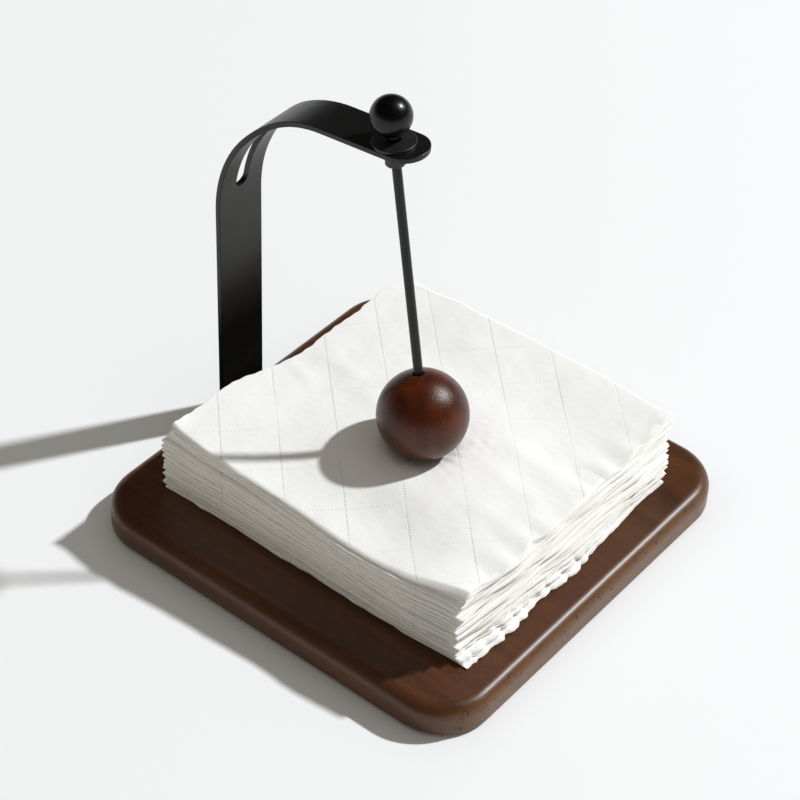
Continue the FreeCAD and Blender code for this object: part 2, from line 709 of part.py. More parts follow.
def make_rod():
    body = new_body("weight_rod")
    spare = size("bore_spare")
    lower_end = -rod_drop() + size("ball_diameter") / 2 - size("ball_bore_depth") + spare
    upper_end = size("knob_height") - size("knob_diameter") / 2 + size("knob_bore_depth") - spare
    plan = new_sketch(body, "rod_plan", "XY_Plane")
    add_circle(plan, "0", "0", "Sizes.rod_diameter")
    rod = add_feature(body, "Pad", "rod_bar", plan)
    rod.Length = upper_end - lower_end
    doc.recompute()
    chamfer = body.newObject("PartDesign::Chamfer", "rod_ends")
    length = upper_end - lower_end
    ends = edges_where(rod.Shape, lambda spot: min(abs(spot.z), abs(spot.z - length)) < ON_PLANE)
    chamfer.Base = (rod, ends)
    bind(chamfer, Size="Sizes.rod_chamfer")
    doc.recompute()
    body.Placement = along_rod(lower_end)
    return body


def make_ball():
    body = new_body("weight_ball")
    radius = "Sizes.ball_diameter / 2"
    bore = "(Sizes.rod_diameter / 2 + Sizes.rod_fit)"
    mouth = "Sizes.ball_mouth / 2"
    mouth_height = f"sqrt(({radius}) ^ 2 - ({mouth}) ^ 2)"
    flare = f"(({mouth}) - {bore})"
    revolve(body, "ball_turned", [
        ("0", f"-{radius}"),
        (radius, "0", f"-{radius}"),
        (mouth, mouth_height, f"-{radius}"),
        (bore, f"{mouth_height} - {flare}"),
        (bore, f"{radius} - Sizes.ball_bore_depth"),
        ("0", f"{radius} - Sizes.ball_bore_depth"),
    ])
    body.Placement = along_rod(-rod_drop())
    return body


def neck_offset():
    """Lower end of the knob's neck above the middle of the arm, measured along the rod."""
    tilt = lean_in_bush()
    crown = bush_seat() + size("bush_crown") + size("knob_rest_gap")
    return (crown + size("knob_neck") / 2 * math.sin(tilt)) / math.cos(tilt)


def make_knob():
    body = new_body("lifting_knob")
    radius = "Sizes.knob_diameter / 2"
    bore = "(Sizes.rod_diameter / 2 + Sizes.rod_fit)"
    neck = "Sizes.knob_neck / 2"
    neck_end = f"({neck_offset()} - Sizes.knob_height)"
    neck_top = f"(-sqrt(({radius}) ^ 2 - ({neck}) ^ 2))"
    bore_end = f"({neck_top} + Sizes.knob_bore_depth)"
    revolve(body, "knob_turned", [
        (bore, neck_end),
        (neck, neck_end),
        (neck, neck_top),
        (radius, "0", f"-{radius}"),
        ("0", radius, f"-{radius}"),
        ("0", bore_end),
        (bore, bore_end),
    ])
    body.Placement = along_rod(size("knob_height"))
    return body


# Napkins, each folded to a quarter, from the board upwards

def make_napkins():
    napkins = []
    for number in range(1, NAPKIN_COUNT + 1):
        block = doc.addObject("Part::Box", f"napkin_block_{number:02d}")
        bind(block, Length="Sizes.napkin_length", Width="Sizes.napkin_width",
             Height="Sizes.napkin_thickness")
        doc.recompute()
        folded = edges_where(block.Shape, lambda spot: min(spot.x, spot.y) < ON_PLANE
                             and on_face(spot))
        name = "top_napkin" if number == NAPKIN_COUNT else f"napkin_{number:02d}"
        napkin = doc.addObject("Part::Fillet", name)
        napkin.Label = name
        napkin.Base = block
        radius = size("napkin_fold_round")
        napkin.Edges = [(int(edge[4:]), radius, radius) for edge in folded]
        napkin.Placement = napkin_place(number)
        doc.recompute()
        napkins.append(napkin)
    return napkins


def on_face(spot):
    return min(abs(spot.z), abs(spot.z - size("napkin_thickness"))) < ON_PLANE


def napkin_place(number):
    """Small, uneven shifts and turns, as in a stack that was set down by hand."""
    shuffle, twist = size("stack_shuffle"), size("stack_twist")
    along, across, turned = (phase * number for phase in SHUFFLE_PHASES)
    shift_x = shuffle * math.sin(along)
    shift_y = shuffle * math.cos(across)
    angle = twist * math.sin(turned + FIRST_TURN_PHASE)
    level = value(BOARD_TOP) + (number - 1) * size("napkin_thickness")
    turn = Rotation(Vector(0, 0, 1), angle)
    corner = turn.multVec(Vector(-size("napkin_length") / 2, -size("napkin_width") / 2, 0))
    middle = Vector(size("stack_forward") + shift_x, size("stack_sideways") + shift_y, level)
    return Placement(middle + corner, turn)


pieces = [make_board(), make_strip(), *make_screws(), *make_feet(), make_bush(), make_rod(),
          make_knob(), make_ball(), *make_napkins()]
doc.recompute()

for obj in doc.Objects:
    if {"Invalid", "Error"} & set(obj.State):
        raise RuntimeError(f"{obj.Label} failed: {obj.State}")
for piece in pieces:
    shape = piece.Shape
    if shape.isNull() or not shape.isValid() or len(shape.Solids) != 1:
        raise RuntimeError(f"{piece.Label} has no single valid solid")

os.makedirs("parts", exist_ok=True)
for piece in pieces:
    piece.Shape.exportStep(f"parts/{piece.Label}.step")
    box = piece.Shape.BoundBox
    print(f"{piece.Label}: {piece.Shape.Volume:.0f} mm3, z {box.ZMin:.2f} to {box.ZMax:.2f}")
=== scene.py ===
"""Looks of a napkin holder.

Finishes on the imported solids, folded paper napkins, floor, light and camera.
"""
import math

import bpy
import numpy as np
from mathutils import Matrix, Vector


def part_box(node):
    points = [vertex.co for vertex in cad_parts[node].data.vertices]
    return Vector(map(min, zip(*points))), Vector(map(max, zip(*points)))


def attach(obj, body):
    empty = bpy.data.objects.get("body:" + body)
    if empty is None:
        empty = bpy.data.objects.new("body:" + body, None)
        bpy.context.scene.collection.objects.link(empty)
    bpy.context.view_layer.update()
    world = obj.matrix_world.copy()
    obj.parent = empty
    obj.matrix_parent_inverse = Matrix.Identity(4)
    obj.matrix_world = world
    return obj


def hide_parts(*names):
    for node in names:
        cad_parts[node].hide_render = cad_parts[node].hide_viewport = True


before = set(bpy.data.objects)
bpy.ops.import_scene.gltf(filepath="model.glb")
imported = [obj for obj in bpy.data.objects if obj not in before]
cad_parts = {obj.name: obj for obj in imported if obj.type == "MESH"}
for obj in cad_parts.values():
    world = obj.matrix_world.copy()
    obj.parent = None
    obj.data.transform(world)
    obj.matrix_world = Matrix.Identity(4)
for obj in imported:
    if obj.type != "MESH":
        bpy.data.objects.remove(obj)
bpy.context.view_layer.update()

MM = 0.001
ROOT_2 = math.sqrt(2)


def direction(azimuth, elevation):
    """Unit vector at these angles in degrees; azimuth 0 is -Y and 90 is +X."""
    azimuth, elevation = math.radians(azimuth), math.radians(elevation)
    return Vector((math.sin(azimuth) * math.cos(elevation),
                   -math.cos(azimuth) * math.cos(elevation), math.sin(elevation)))


# Camera, as fitted to the outline of the square board, in degrees and mm

CAMERA_AZIMUTH = 37.344
CAMERA_ELEVATION = 41.562
CAMERA_ROLL = 2.58
CAMERA_DISTANCE = 1095.56
CAMERA_AIM = Vector((-49.311, 52.329, 0.0))
FOCAL_PIXELS = 2374.04
IMAGE_PIXELS = 800
SENSOR = 36.0
SIGHT = 50.0  # m


def place_camera():
    back = direction(CAMERA_AZIMUTH, CAMERA_ELEVATION)
    right = (-back).cross(Vector((0, 0, 1))).normalized()
    up = right.cross(-back)
    roll = math.radians(CAMERA_ROLL)
    rolled_right = right * math.cos(roll) + up * math.sin(roll)
    rolled_up = up * math.cos(roll) - right * math.sin(roll)
    data = bpy.data.cameras.new("view_camera")
    data.sensor_width = SENSOR
    data.lens = FOCAL_PIXELS / IMAGE_PIXELS * SENSOR
    data.clip_end = SIGHT
    camera = bpy.data.objects.new("view_camera", data)
    axes = Matrix((rolled_right, rolled_up, back)).transposed().to_4x4()
    camera.matrix_world = Matrix.Translation((CAMERA_AIM + back * CAMERA_DISTANCE) * MM) @ axes
    bpy.context.scene.collection.objects.link(camera)
    bpy.context.scene.camera = camera


# Nodes of materials and of the world

# Sockets of a Mix node for colours, whose names it shares with other kinds of value
MIX_FACTOR, MIX_FIRST, MIX_SECOND, MIX_RESULT = 0, 6, 7, 2


class Nodes:
    """A node tree, with short ways to add to it."""

    def __init__(self, tree):
        self.tree = tree

    def add(self, kind, settings=None, **inputs):
        """New node with its own settings; inputs go by name, with _ for a space."""
        node = self.tree.nodes.new(kind)
        for key, amount in (settings or {}).items():
            setattr(node, key, amount)
        for key, amount in inputs.items():
            self.feed(node.inputs[key.replace("_", " ")], amount)
        return node

    def feed(self, socket, amount):
        """Link the socket to another node's output, or set its value."""
        if isinstance(amount, bpy.types.NodeSocket):
            self.tree.links.new(amount, socket)
        else:
            socket.default_value = amount

    def math(self, operation, *terms):
        """Result of a Math node; terms are numbers or outputs."""
        node = self.add("ShaderNodeMath", {"operation": operation})
        for socket, term in zip(node.inputs, terms):
            self.feed(socket, term)
        return node.outputs[0]

    def spread(self, value, low, high, new_low=0.0, new_high=1.0, kind="SMOOTHSTEP"):
        """Value taken from the range low to high to the new range, and held there beyond it."""
        node = self.add("ShaderNodeMapRange", {"interpolation_type": kind}, Value=value,
                        From_Min=low, From_Max=high, To_Min=new_low, To_Max=new_high)
        return node.outputs["Result"]

    def mixed(self, factor, first, second):
        """Mix of two colours, each a tuple or another node's output."""
        node = self.add("ShaderNodeMix", {"data_type": "RGBA"})
        self.feed(node.inputs[MIX_FACTOR], factor)
        for index, colour in ((MIX_FIRST, first), (MIX_SECOND, second)):
            self.feed(node.inputs[index], (*colour, 1) if isinstance(colour, tuple) else colour)
        return node.outputs[MIX_RESULT]

    def parts(self, vector):
        """X, Y and Z of a vector."""
        axes = self.add("ShaderNodeSeparateXYZ", Vector=vector)
        return axes.outputs["X"], axes.outputs["Y"], axes.outputs["Z"]


class Finish(Nodes):
    """A material with one Principled shader and the nodes that feed it."""

    def __init__(self, name, **settings):
        self.material = bpy.data.materials.new(name)
        self.material.use_nodes = True
        super().__init__(self.material.node_tree)
        self.shader = self.tree.nodes["Principled BSDF"]
        for key, amount in settings.items():
            self.shader.inputs[key.replace("_", " ")].default_value = amount
        coordinates = self.add("ShaderNodeTexCoord")
        self.place = coordinates.outputs["Object"]
        self.facing = coordinates.outputs["Normal"]

    def noise(self, scale, detail=3.0, roughness=0.5, distortion=0.0):
        """Noise with this many features per metre, or a tuple of them along X, Y and Z."""
        place = self.place
        if isinstance(scale, tuple):
            place = self.add("ShaderNodeMapping", Vector=place, Scale=scale).outputs["Vector"]
            scale = 1.0
        node = self.add("ShaderNodeTexNoise", Vector=place, Scale=scale, Detail=detail,
                        Roughness=roughness, Distortion=distortion)
        return node.outputs["Fac"]

    def ramp(self, value, *stops):
        """Colour band through three stops, each a position and a colour."""
        node = self.add("ShaderNodeValToRGB", Fac=value)
        elements = node.color_ramp.elements
        elements.new(0.5)
        for element, (position, colour) in zip(elements, stops):
            element.position = position
            element.color = (*colour, 1)
        return node.outputs["Color"]

    def bumped(self, *heights):
        """Bumps on each other, each given as its height value, strength and distance in mm."""
        normal = None
        for height, strength, distance in heights:
            node = self.add("ShaderNodeBump", Height=height, Strength=strength,
                            Distance=distance * MM)
            if normal is not None:
                self.feed(node.inputs["Normal"], normal)
            normal = node.outputs["Normal"]
        self.attach("Normal", normal)

    def attach(self, name, value):
        """Feed an input of the shader."""
        self.feed(self.shader.inputs[name], value)


# Curve of screen colours: a straight toe, then a power
SCREEN_LEVELS = 255
TOE_END, TOE_SLOPE = 10, 12.92
SCREEN_OFFSET, SCREEN_GAMMA = 0.055, 2.4


def linear(red, green, blue):
    """Colour as it is seen on a screen, 0 to 255, made linear."""
    def straight(level):
        share = level / SCREEN_LEVELS
        if level > TOE_END:
            return ((share + SCREEN_OFFSET) / (1 + SCREEN_OFFSET)) ** SCREEN_GAMMA
        return share / TOE_SLOPE

    return straight(red), straight(green), straight(blue)


# Finishes of the solids

def board_finish():
    """Stained walnut with its grain along X, under a worn satin lacquer, with painted sheen on the
    side at +X.
    """
    finish = Finish("walnut_board", IOR=1.5, Specular_IOR_Level=0.2, Coat_Weight=0.45,
                    Coat_Roughness=0.34, Coat_IOR=1.5)
    figure = finish.noise((9, 120, 120), detail=5, roughness=0.55, distortion=0.6)
    pores = finish.noise((220, 2600, 2600), detail=2)
    ends = finish.noise((900, 1500, 330), detail=2)
    cloud = finish.noise(16)
    rubbed = finish.noise(150, roughness=0.6)
    speck = finish.noise(2100, detail=2, roughness=0.6)
    brushed = finish.noise((900, 900, 260), detail=2, roughness=0.6)
    grain = (0.28, linear(64, 35, 16)), (0.52, linear(82, 48, 24)), (0.75, linear(97, 59, 32))
    stain, pore = linear(80, 41, 14), linear(34, 17, 8)
    # The first colour is painted sheen for faces towards +X; the other two are dark end-grain
    # marks and dust.
    side_painted_sheen, end_mark, dust = linear(124, 88, 54), linear(30, 16, 8), linear(140, 104, 74)

    wood = finish.ramp(figure, *grain)
    wood = finish.mixed(finish.spread(cloud, 0.35, 0.7, 0.0, 0.5), wood, stain)
    wood = finish.mixed(finish.spread(pores, 0.58, 0.70, 0.0, 0.6), wood, pore)
    # Faces towards +X get half of the lighter painted sheen colour, and dark end-grain marks.
    towards_end = finish.spread(finish.parts(finish.facing)[0], 0.4, 0.9)
    wood = finish.mixed(finish.math("MULTIPLY", towards_end, 0.5), wood, side_painted_sheen)
    marks = finish.math("MULTIPLY", finish.spread(ends, 0.56, 0.62), towards_end)
    marks = finish.math("MULTIPLY", marks, finish.spread(rubbed, 0.48, 0.6))
    wood = finish.mixed(marks, wood, end_mark)
    wood = finish.mixed(finish.spread(speck, 0.64, 0.8, 0.0, 0.3), wood, dust)
    finish.attach("Base Color", wood)
    finish.attach("Roughness", finish.spread(speck, 0.2, 0.8, 0.36, 0.5))
    finish.bumped((rubbed, 0.5, 0.6), (figure, 0.15, 0.2), (pores, 0.3, 0.08),
                  (brushed, 0.2, 0.08), (speck, 0.35, 0.08))
    return finish.material


def ball_finish():
    """Reddish stained wood with an upright grain, pimpled by its lacquer."""
    finish = Finish("stained_ball", IOR=1.5, Specular_IOR_Level=0.38)
    figure = finish.noise((110, 110, 30), detail=4, distortion=0.5)
    fleck = finish.noise((1700, 1700, 600), detail=2, roughness=0.6)
    speck = finish.noise(2600, detail=2, roughness=0.7)
    grain = (0.30, linear(60, 23, 7)), (0.55, linear(80, 33, 9)), (0.75, linear(100, 45, 13))
    dark_fleck, pale_speck = linear(36, 14, 5), linear(140, 80, 44)

    wood = finish.ramp(figure, *grain)
    wood = finish.mixed(finish.spread(fleck, 0.6, 0.75, 0.0, 0.5), wood, dark_fleck)
    wood = finish.mixed(finish.spread(speck, 0.6, 0.75, 0.0, 0.35), wood, pale_speck)
    finish.attach("Base Color", wood)
    finish.attach("Roughness", finish.spread(speck, 0.3, 0.7, 0.24, 0.36))
    finish.bumped((fleck, 0.2, 0.1), (speck, 0.75, 0.12))
    return finish.material


# Blacks: blue against red and green, the darker patches against the rest, how far the roughness
# swings, and the shine that is left below, which is painted shade
BLACK_WARMTH = 0.94
BLACK_PATCHES = 0.75
ROUGHNESS_SWING = 0.06
PAINTED_DULL_SHINE = 0.01


def black_finish(name, shade, rough, grain, depth, shine=0.4, painted_dull_below=None):
    """Satin black; the last argument gives the heights in mm between which the shine sets in, and
    the dulled shine below them is painted shade.
    """
    finish = Finish(name, IOR=1.5, Specular_IOR_Level=shine)
    shade = (shade, shade, shade * BLACK_WARMTH)
    fine = finish.noise(grain, roughness=0.6)
    broad = finish.noise(60)
    dark = tuple(part * BLACK_PATCHES for part in shade)
    finish.attach("Base Color", finish.mixed(finish.spread(broad, 0.3, 0.7), dark, shade))
    finish.attach("Roughness", finish.spread(fine, 0.3, 0.7, rough - ROUGHNESS_SWING,
                                             rough + ROUGHNESS_SWING))
    # Painted shade: the shine is dulled below the given heights, so the lower part looks darker.
    if painted_dull_below:
        height = finish.parts(finish.place)[2]
        low, high = (level * MM for level in painted_dull_below)
        finish.attach("Specular IOR Level", finish.spread(height, low, high, PAINTED_DULL_SHINE, shine))
    finish.bumped((fine, depth, 0.08))
    return finish.material


def dress(node, material):
    """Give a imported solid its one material."""
    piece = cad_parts[node]
    piece.data.materials.clear()
    piece.data.materials.append(material)


def dress_solids():
    screw = black_finish("black_screw", shade=0.008, rough=0.35, grain=2200, depth=0.2)
    rubber = black_finish("rubber_foot", shade=0.012, rough=0.75, grain=900, depth=0.5, shine=0.3)
    dress("base_board", board_finish())
    # The strip's shine is dulled below 48 to 96 mm: painted shade on its lower part.
    dress("arm_strip", black_finish("black_steel", shade=0.006, rough=0.36, grain=1500, depth=0.35,
                                    painted_dull_below=(48, 96)))
    dress("weight_ball", ball_finish())
    dress("weight_rod", black_finish("black_rod", shade=0.006, rough=0.36, grain=2000, depth=0.3))
    dress("lifting_knob", black_finish("black_knob", shade=0.0015, rough=0.30, grain=1800,
                                       depth=0.05, shine=0.36))
    dress("swivel_bush", black_finish("black_bush", shade=0.014, rough=0.40, grain=1800,
                                      depth=0.5, shine=0.55))
    for side in ("left", "right"):
        dress(f"{side}_arm_screw", screw)
    for corner in ("front_left", "front_right", "back_right", "back_left"):
        dress(f"{corner}_foot", rubber)


# Paper, with a lattice of dotted lines pressed into it. Each family of lines has the sign of y in
# the diagonal that it crosses, its spacing and offset on that diagonal in mm, and its depth
LATTICE = (
    (1, 34.7, 20.3, 1.0),
    (-1, 33.0, 5.0, 0.4),
)
DOT_PITCH = 1.55
DOT_CORE, DOT_RIM = 0.2, 0.55  # radii of a dot's floor and of its rim


def paper_finish(name):
    """White tissue: crepe, loose fibres, painted warm shade where it stands upright, and the
    lattice with painted shade in its dots.
    """
    finish = Finish(name, IOR=1.4, Roughness=0.9, Specular_IOR_Level=0.2,
                    Subsurface_Weight=0.12, Subsurface_Scale=0.0008,
                    Subsurface_Radius=(1.0, 0.9, 0.72))
    crepe = finish.noise((2600, 900, 2600), detail=2, roughness=0.6)
    fibre = finish.noise(900, detail=4, roughness=0.65)
    cloud = finish.noise(40)
    white, whiter = linear(248, 248, 246), linear(251, 251, 249)
    # Of these, the second and third colours are painted shade: warm on paper that stands upright,
    # and grey in the pressed dots.
    loose, upright_painted_shade, dent_painted_shade = linear(236, 235, 231), linear(238, 230, 216), linear(196, 194, 188)

    level = finish.math("ABSOLUTE", finish.parts(finish.facing)[2])
    dents = finish.math("MULTIPLY", lattice_dents(finish), finish.spread(level, 0.7, 0.95))
    paper = finish.mixed(finish.spread(cloud, 0.3, 0.7), white, whiter)
    paper = finish.mixed(finish.spread(fibre, 0.55, 0.8, 0.0, 0.3), paper, loose)
    # Paper that stands upright is painted warmer and a little darker: painted shade for the
    # stack's sides.
    paper = finish.mixed(finish.spread(level, 0.25, 0.9, 1.0, 0.0), paper, upright_painted_shade)
    # The dots are painted grey where the paper faces up: painted shade in the dents.
    paper = finish.mixed(finish.math("MULTIPLY", dents, 0.4), paper, dent_painted_shade)
    finish.attach("Base Color", paper)
    finish.bumped((fibre, 0.4, 0.14), (crepe, 0.6, 0.12),
                  (finish.math("SUBTRACT", 1.0, dents), 0.8, 0.25))
    return finish.material


def lattice_dents(finish):
    """Depth of the dots, 0 to 1, fainter where the paper is worn flat."""
    x, y, _ = finish.parts(finish.place)
    patches = finish.noise(26, detail=2)
    families = []
    for sign, spacing, offset, depth in LATTICE:
        across = finish.math("MULTIPLY_ADD", y, sign, x)
        across = finish.math("SUBTRACT", across, offset * MM)
        across = from_line(finish, across, spacing * MM)
        along = finish.math("MULTIPLY_ADD", y, -sign, x)
        along = from_line(finish, along, DOT_PITCH * ROOT_2 * MM)
        squared = finish.math("MULTIPLY", across, across)
        squared = finish.math("MULTIPLY_ADD", along, along, squared)
        dent = finish.spread(finish.math("SQRT", squared), DOT_CORE * MM, DOT_RIM * MM, depth, 0.0)
        worn = finish.spread(patches, 0.36, 0.62, 0.1 + 0.3 * depth, 1.0)
        families.append(finish.math("MULTIPLY", dent, worn))
    return finish.math("MAXIMUM", *families)


def from_line(finish, diagonal, period):
    """Distance in plan from the nearest of the lines that lie a period apart on a diagonal."""
    off = finish.math("PINGPONG", finish.math("DIVIDE", diagonal, period), 0.5)
    return finish.math("MULTIPLY", off, period / ROOT_2)


# Napkins, in mm: each is one sheet folded twice, with its folds at -X and -Y

LENGTH, WIDTH = 161.0, 143.0
COUNT = 20
PAPER = 0.2  # thickness of a leaf
LEAF_PITCH = 0.47  # from leaf to leaf at a fold
STACK_MIDDLE = (1.5, 0.5)
STACK_BOTTOM = round(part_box("base_board")[1].z / MM, 2)
STACK_TOP = round(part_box("top_napkin")[1].z / MM, 2)
BALL_X, BALL_Y, _ = (round(place / MM, 2) for place in sum(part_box("weight_ball"), Vector()) / 2)
SHUFFLE, TWIST = 0.5, math.radians(0.35)
SHUFFLE_PHASES = (2.4, 3.7, 1.3)  # radians from one napkin to the next: along, across, turned
FIRST_TURN_PHASE = 0.5
SIDE_REACH = 40.0  # how far in from a side its waves fade out

# Steps of the grid: the top napkin's upper leaf and its hidden ones, the other napkins along X,
# and along Y the lacy lower ones and the plain ones above
STEP_SEEN, STEP_HIDDEN = 1.0, 3.2
STEP_ALONG = 5.0
STEP_LACY, STEP_PLAIN = 1.2, 2.2
LACY_COUNT = 7
FOLD_STEPS = 8

# The whole stack: rise of the left corner, sag behind the front corner, lift along the back edge,
# bulge round the ball, and puff of the top napkin at the front corner
LEFT_RISE, FRONT_SAG, BACK_LIFT, BALL_BULGE, FRONT_PUFF = 3.5, 2.6, 3.0, 4.2, 5.0

# Top leaf: wrinkles, crepe, pressed lines, puckers round the ball and the crushed patch
WRINKLE_RISE, CREPE_RISE, LINE_DEPTH, PUCKER_RISE, CRUSH_RISE = 0.2, 0.055, 0.02, 0.2, 0.3
LINE_REACH = 1.2
CRUSH_X, CRUSH_Y, CRUSH_REACH = 28, 4, 6.5 * ROOT_2

# Open ends at +X: the napkins counted from below that are pressed out into a lacy edge, how far it
# stands out and swings, how far other ends drift, and how far the front corner recedes on top and
# more below
PRESSED_OUT = 3.4
LACE_OUT, LACE_SWING, END_DRIFT = 2.4, 1.7, 0.6
RECEDES, RECEDES_BELOW = 1.5, 4.0

# Unevenness of the leaves' edges on top of the stack, and more below
FRAY, FRAY_BELOW = 0.03, 0.15

# End at -X, drawn in at its near and its far corner: on top of the stack, and less below
DRAWN_NEAR, LESS_NEAR, DRAWN_FAR, LESS_FAR = 5.0, 6.0, 12.5, 6.5

# Side at -Y, which leans out: at the bottom of the stack, and more on top; and how far the
# uppermost napkins reach back at +Y
LEAN, LEAN_ABOVE, REACH_BACK = 0.8, 3.2, 2.4

# Top napkin: how far its fold stands out at -Y and more towards the front corner, the notch in its
# open end, its raised left corner, and its curled open end with one lifted place
FOLD_OUT, FOLD_OUT_FRONT = 1.9, 3.0
NOTCH_DEPTH, NOTCH_Y = 1.6, -26
CORNER_RISE, CORNER_X, CORNER_Y, CORNER_REACH = 3.0, -80, -71, 5 * ROOT_2
CURL_RISE, LIFT_RISE, LIFT_Y = 0.9, 1.3, -16
SMALL_REACH = 5.0  # of the notch and of the lifted place, along Y

# Ends of the lower napkins, embossed
EMBOSS_DEPTH, EMBOSSED_COUNT = 0.18, 6

# Soft creases in the top leaf: from, to, half width and height
CREASES = (
    ((-74, -3), (-44, -12), 4.0, 0.40),
    ((-59, 8), (-32, 4), 4.0, 0.35),
    ((-32, -1), (-14, -7), 3.0, 0.25),
    ((30, 12), (88, 9), 5.5, 0.45),
    ((30, -4), (86, -9), 5.0, 0.45),
    ((40, -30), (84, -19), 5.0, 0.35),
    ((62, 8), (88, 2), 3.0, 0.25),
    ((-20, 52), (14, 60), 6.0, 0.3),
)

rng = np.random.default_rng(7)


def smooth(value, low, high):
    """0 up to low, 1 from high on, and a smooth step between them."""
    share = np.clip((value - low) / (high - low), 0, 1)
    return share * share * (3 - 2 * share)


def hump(distance, reach):
    """1 at distance 0, 0.37 at the reach and 0.02 at twice the reach."""
    return np.exp(-(distance / reach) ** 2)


def random_pitch(length):
    """Radians per mm of a wave about this long."""
    return 2 * math.pi / (length * rng.uniform(0.85, 1.15))


def wave(lengths, rise=1.0):
    """Random smooth curve: a sum of sines with about the given wavelengths."""
    parts = [(rng.uniform(0.5, 1.0), random_pitch(length), rng.uniform(0, 2 * math.pi))
             for length in lengths]
    total = sum(strength for strength, _, _ in parts)
    return lambda place: rise * sum(strength * np.sin(pitch * place + phase)
                                    for strength, pitch, phase in parts) / total


def ripple(lengths, rise=1.0):
    """Random smooth surface: a sum of plane waves in random directions."""
    parts = []
    for length in lengths:
        turn = rng.uniform(0, math.pi)
        pitch = random_pitch(length)
        parts.append((rng.uniform(0.5, 1.0), pitch * math.cos(turn), pitch * math.sin(turn),
                      rng.uniform(0, 2 * math.pi)))
    total = sum(part[0] for part in parts)
    return lambda x, y: rise * sum(strength * np.sin(pitch_x * x + pitch_y * y + phase)
                                   for strength, pitch_x, pitch_y, phase in parts) / total


# Random shapes that the napkins share, drawn in this order
gap_waves = [ripple((60, 90, 140), 0.45) for _ in range(COUNT)]
gap_sizes = rng.uniform(0.65, 1.4, COUNT)
air_waves = [ripple((55, 80, 130)) for _ in range(COUNT)]
wrinkles = ripple((24, 38, 55, 16))
crepe_ridges = ripple((5, 7, 4, 9))
crumple = ripple((4.5, 6, 8, 3.6, 5))
embossed = ripple((3.6, 5, 4.2, 7))
drift = wave((160, 60))
curls = wave((21, 13, 34))
scallops = wave((19, 15, 27))
ruffle = wave((5.2, 3.9, 7.5))


def lace(y):
    """Uneven scallops that the pressed borders of the lower napkins share."""
    return np.abs(scallops(y)) ** 0.75 - 0.45 + 0.3 * ruffle(y)


def stack_height(x, y):
    """Top of the whole stack.

    It is raised at the left corner, sags behind the front corner, lifts along the back edge and
    bulges round the dimple under the ball."""
    left = LEFT_RISE * smooth(-x, -10, 60) * smooth(-y, 0, 60)
    sag = FRONT_SAG * hump(x - 32, 24) * smooth(-y, 20, 74)
    back = BACK_LIFT * smooth(y, 30, 74) * smooth(x, -66, -20)
    from_ball = np.hypot(x - BALL_X, y - BALL_Y)
    bulge = BALL_BULGE * smooth(from_ball, 4, 19) * hump(np.maximum(from_ball - 22, 0), 36)
    bulge = bulge * (1 - 0.85 * smooth(-y, 34, 64))
    return STACK_TOP + left - sag + back + bulge


def napkin_levels(x, y):
    """Heights of the borders between the napkins, from the board to the top of the stack.

    The top napkin is thicker towards the left corner, and puffs up at the front corner."""
    gaps = np.stack([size * (1 + gap(x, y)) for size, gap in zip(gap_sizes, gap_waves)])
    gaps[-1] = 1 + 0.5 * smooth(-y, 20, 72) * smooth(-x, 20, 70)
    borders = np.concatenate([np.zeros((1,) + x.shape), np.cumsum(gaps, axis=0)])
    levels = STACK_BOTTOM + (stack_height(x, y) - STACK_BOTTOM) * borders / borders[-1]
    levels[-1] += FRONT_PUFF * hump(x - 84, 24) * hump(y + 74, 17)
    return levels


def top_relief(x, y):
    """Pressed lines, soft wrinkles and creases in the top leaf."""
    relief = WRINKLE_RISE * wrinkles(x, y) + CREPE_RISE * crepe_ridges(x, y)
    for sign, spacing, offset, depth in LATTICE:
        across = (x + sign * y - offset) / spacing
        distance = np.abs(across - np.round(across)) * spacing / ROOT_2
        relief = relief - LINE_DEPTH * depth * hump(distance, LINE_REACH)
    for start, end, width, height in CREASES:
        relief = relief + height * crease(x, y, start, end, width)
    from_ball = np.hypot(x - BALL_X, y - BALL_Y)
    heading = np.arctan2(y - BALL_Y, x - BALL_X)
    ring = smooth(from_ball, 7, 12) * smooth(-from_ball, -26, -13)
    folds = np.sin(13 * heading + 0.5) * np.sin(5 * heading + 2) + 0.6 * np.sin(23 * heading + 1)
    crushed = hump(np.hypot(x - CRUSH_X, y - CRUSH_Y), CRUSH_REACH)
    return relief + PUCKER_RISE * ring * folds + CRUSH_RISE * crushed * crumple(x, y)


def crease(x, y, start, end, width):
    """Ridge of height 1 from start to end, which fades out at both ends."""
    run = np.hypot(end[0] - start[0], end[1] - start[1])
    along_x, along_y = (end[0] - start[0]) / run, (end[1] - start[1]) / run
    along = ((x - start[0]) * along_x + (y - start[1]) * along_y) / run
    aside = (y - start[1]) * along_x - (x - start[0]) * along_y
    return smooth(along, -0.1, 0.35) * smooth(-along, -1.1, -0.65) * hump(aside, width)


def spaced(start, end, step):
    """Even steps of about this length from start to end."""
    return np.linspace(start, end, max(2, int(round(abs(end - start) / step)) + 1))


def fold_track(length, inset, step_there, step_back):
    """Positions along one direction of the sheet: there, round the fold, and back.

    Gives the place along the folded napkin and the turn of the fold, 0 to pi, at each point."""
    centre = inset - length / 2
    there = spaced(length / 2, centre, step_there)
    back = spaced(centre, length / 2, step_back)
    round_turn = np.linspace(0, math.pi, FOLD_STEPS + 1)[1:-1]
    place = np.concatenate([there, np.full(len(round_turn), centre), back])
    turn = np.concatenate([np.zeros(len(there)), round_turn, np.full(len(back), math.pi)])
    return place, turn


def grid_steps(number):
    """Steps there and back along X, and there and back along Y."""
    if number == COUNT:
        return STEP_SEEN, STEP_HIDDEN, STEP_HIDDEN, STEP_SEEN
    step = STEP_LACY if number <= LACY_COUNT else STEP_PLAIN
    return STEP_ALONG, STEP_ALONG, step, step


